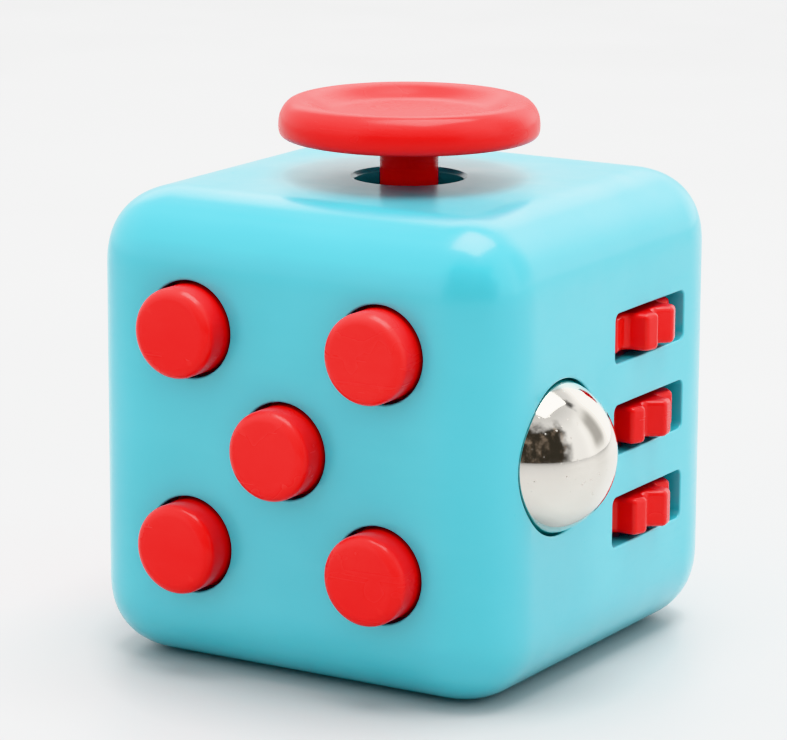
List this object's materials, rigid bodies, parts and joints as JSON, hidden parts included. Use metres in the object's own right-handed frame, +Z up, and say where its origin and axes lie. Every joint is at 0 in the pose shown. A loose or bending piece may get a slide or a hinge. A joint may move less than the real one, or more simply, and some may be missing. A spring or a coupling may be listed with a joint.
{
  "type": "fidget cube",
  "caption": "Rounded pocket cube with push buttons, a gliding thumb stick, toothed thumb wheels beside a rolling metal ball, a rocker, a spinning dial and a thumb dish.",
  "frame": {"origin": "centre of the cube's underside, on the surface it stands on", "axes": "+Z up through the gliding stick, -Y out through the push buttons, +X out through the ball and the thumb wheels, +Y out through the rocker, -X out through the dial"},
  "size_m": [0.0396, 0.0372, 0.0384],
  "materials": {
    "backplate_screw_1": "plain steel",
    "backplate_screw_2": "plain steel",
    "backplate_screw_3": "plain steel",
    "backplate_screw_4": "plain steel",
    "ball_click_dome": "spring steel strip",
    "ball_cup": "plain moulded acetal, off-white",
    "ball_plate_screw_1": "plain steel",
    "ball_plate_screw_2": "plain steel",
    "ball_switch_plate": "plain moulded plastic, smoke black",
    "bottom_cover": "glossy moulded ABS, light teal",
    "button_backplate": "plain moulded acetal, off-white",
    "button_bottom_left": "glossy moulded ABS, bright red",
    "button_bottom_right": "glossy moulded ABS, bright red",
    "button_centre": "glossy moulded ABS, bright red",
    "button_top_left": "glossy moulded ABS, bright red",
    "button_top_right": "glossy moulded ABS, bright red",
    "centring_diaphragm": "soft silicone",
    "click_dome_bottom_right": "spring steel strip",
    "click_dome_centre": "spring steel strip",
    "click_dome_top_left": "spring steel strip",
    "dial": "glossy moulded ABS, bright red",
    "dial_retainer": "plain moulded acetal, off-white",
    "dial_screw": "plain steel",
    "gear_bracket": "plain moulded plastic, smoke black",
    "gear_bracket_screw_1": "plain steel",
    "gear_bracket_screw_2": "plain steel",
    "gear_click_spring_lower": "spring steel strip",
    "gear_click_spring_middle": "spring steel strip",
    "gear_click_spring_upper": "spring steel strip",
    "gear_lower": "glossy moulded ABS, bright red",
    "gear_middle": "glossy moulded ABS, bright red",
    "gear_shaft": "plain steel",
    "gear_upper": "glossy moulded ABS, bright red",
    "glide_slider": "plain moulded acetal, off-white",
    "glide_tray": "plain moulded acetal, off-white",
    "joystick_cap": "glossy moulded ABS, bright red",
    "joystick_foot": "plain moulded plastic, smoke black",
    "joystick_screw": "plain steel",
    "main_shell": "glossy moulded ABS, light teal",
    "rocker": "glossy moulded ABS, bright red",
    "rocker_bracket": "plain moulded plastic, smoke black",
    "rocker_bracket_screw_1": "plain steel",
    "rocker_bracket_screw_2": "plain steel",
    "rocker_pin": "plain steel",
    "rocker_spring": "spring steel strip",
    "silent_dome_bottom_left": "soft silicone",
    "silent_dome_top_right": "soft silicone",
    "steel_ball": "polished, chrome plated steel",
    "tray_screw_1": "plain steel",
    "tray_screw_2": "plain steel",
    "tray_screw_3": "plain steel",
    "tray_screw_4": "plain steel"
  },
  "bodies": {
    "case": {"backplate_screw_1": "backplate_screw_1", "backplate_screw_2": "backplate_screw_2", "backplate_screw_3": "backplate_screw_3", "backplate_screw_4": "backplate_screw_4", "ball_click_dome": "ball_click_dome", "ball_plate_screw_1": "ball_plate_screw_1", "ball_plate_screw_2": "ball_plate_screw_2", "ball_switch_plate": "ball_switch_plate", "bottom_cover": "bottom_cover", "button_backplate": "button_backplate", "centring_diaphragm": "centring_diaphragm", "click_dome_bottom_right": "click_dome_bottom_right", "click_dome_centre": "click_dome_centre", "click_dome_top_left": "click_dome_top_left", "gear_bracket": "gear_bracket", "gear_bracket_screw_1": "gear_bracket_screw_1", "gear_bracket_screw_2": "gear_bracket_screw_2", "gear_click_spring_lower": "gear_click_spring_lower", "gear_click_spring_middle": "gear_click_spring_middle", "gear_click_spring_upper": "gear_click_spring_upper", "gear_shaft": "gear_shaft", "glide_tray": "glide_tray", "main_shell": "main_shell", "rocker_bracket": "rocker_bracket", "rocker_bracket_screw_1": "rocker_bracket_screw_1", "rocker_bracket_screw_2": "rocker_bracket_screw_2", "rocker_pin": "rocker_pin", "rocker_spring": "rocker_spring", "silent_dome_bottom_left": "silent_dome_bottom_left", "silent_dome_top_right": "silent_dome_top_right", "tray_screw_1": "tray_screw_1", "tray_screw_2": "tray_screw_2", "tray_screw_3": "tray_screw_3", "tray_screw_4": "tray_screw_4"},
    "button_top_left": {"button_top_left": "button_top_left"},
    "button_top_right": {"button_top_right": "button_top_right"},
    "button_centre": {"button_centre": "button_centre"},
    "button_bottom_left": {"button_bottom_left": "button_bottom_left"},
    "button_bottom_right": {"button_bottom_right": "button_bottom_right"},
    "glide_slide": {"glide_slider": "glide_slider"},
    "joystick": {"joystick_cap": "joystick_cap", "joystick_foot": "joystick_foot", "joystick_screw": "joystick_screw"},
    "gear_upper": {"gear_upper": "gear_upper"},
    "gear_middle": {"gear_middle": "gear_middle"},
    "gear_lower": {"gear_lower": "gear_lower"},
    "ball_cup": {"ball_cup": "ball_cup"},
    "ball": {"steel_ball": "steel_ball"},
    "rocker": {"rocker": "rocker"},
    "dial": {"dial": "dial", "dial_retainer": "dial_retainer", "dial_screw": "dial_screw"}
  },
  "joints": [
    {"name": "press_button_top_left", "type": "slide", "parent": "case", "child": "button_top_left", "axis": [0, 1, 0], "range_m": [0, 0.0012], "stiffness_N_per_m": 500, "springref_m": -0.0006, "deforming": ["click_dome_top_left"]},
    {"name": "press_button_top_right", "type": "slide", "parent": "case", "child": "button_top_right", "axis": [0, 1, 0], "range_m": [0, 0.0012], "stiffness_N_per_m": 350, "springref_m": -0.0006, "deforming": ["silent_dome_top_right"]},
    {"name": "press_button_centre", "type": "slide", "parent": "case", "child": "button_centre", "axis": [0, 1, 0], "range_m": [0, 0.0012], "stiffness_N_per_m": 500, "springref_m": -0.0006, "deforming": ["click_dome_centre"]},
    {"name": "press_button_bottom_left", "type": "slide", "parent": "case", "child": "button_bottom_left", "axis": [0, 1, 0], "range_m": [0, 0.0012], "stiffness_N_per_m": 350, "springref_m": -0.0006, "deforming": ["silent_dome_bottom_left"]},
    {"name": "press_button_bottom_right", "type": "slide", "parent": "case", "child": "button_bottom_right", "axis": [0, 1, 0], "range_m": [0, 0.0012], "stiffness_N_per_m": 500, "springref_m": -0.0006, "deforming": ["click_dome_bottom_right"]},
    {"name": "glide_left_right", "type": "slide", "parent": "case", "child": "glide_slide", "axis": [1, 0, 0], "range_m": [-0.0012, 0.0012], "stiffness_N_per_m": 350, "deforming": ["centring_diaphragm"]},
    {"name": "glide_front_back", "type": "slide", "parent": "glide_slide", "child": "joystick", "axis": [0, 1, 0], "range_m": [-0.0012, 0.0012], "stiffness_N_per_m": 350},
    {"name": "spin_gear_upper", "type": "hinge", "parent": "case", "child": "gear_upper", "pos_m": [0.01228, 0.0051, 0.02315], "axis": [0, 0, 1], "continuous": true, "deforming": ["gear_click_spring_upper"]},
    {"name": "spin_gear_middle", "type": "hinge", "parent": "case", "child": "gear_middle", "pos_m": [0.01228, 0.0051, 0.01669], "axis": [0, 0, 1], "continuous": true, "deforming": ["gear_click_spring_middle"]},
    {"name": "spin_gear_lower", "type": "hinge", "parent": "case", "child": "gear_lower", "pos_m": [0.01228, 0.0051, 0.01015], "axis": [0, 0, 1], "continuous": true, "deforming": ["gear_click_spring_lower"]},
    {"name": "press_ball", "type": "slide", "parent": "case", "child": "ball_cup", "axis": [-1, 0, 0], "range_m": [0, 0.0008], "stiffness_N_per_m": 900, "springref_m": -0.0006, "deforming": ["ball_click_dome"]},
    {"name": "roll_ball", "type": "hinge", "parent": "ball_cup", "child": "ball", "pos_m": [0.01457, -0.0075, 0.0165], "axis": [0, 0, 1], "continuous": true},
    {"name": "flip_rocker", "type": "hinge", "parent": "case", "child": "rocker", "pos_m": [0, 0.0129, 0.0165], "axis": [1, 0, 0], "range_deg": [0, 16], "deforming": ["rocker_spring"]},
    {"name": "spin_dial", "type": "hinge", "parent": "case", "child": "dial", "pos_m": [-0.0165, 0, 0.0165], "axis": [1, 0, 0], "continuous": true}
  ]
}
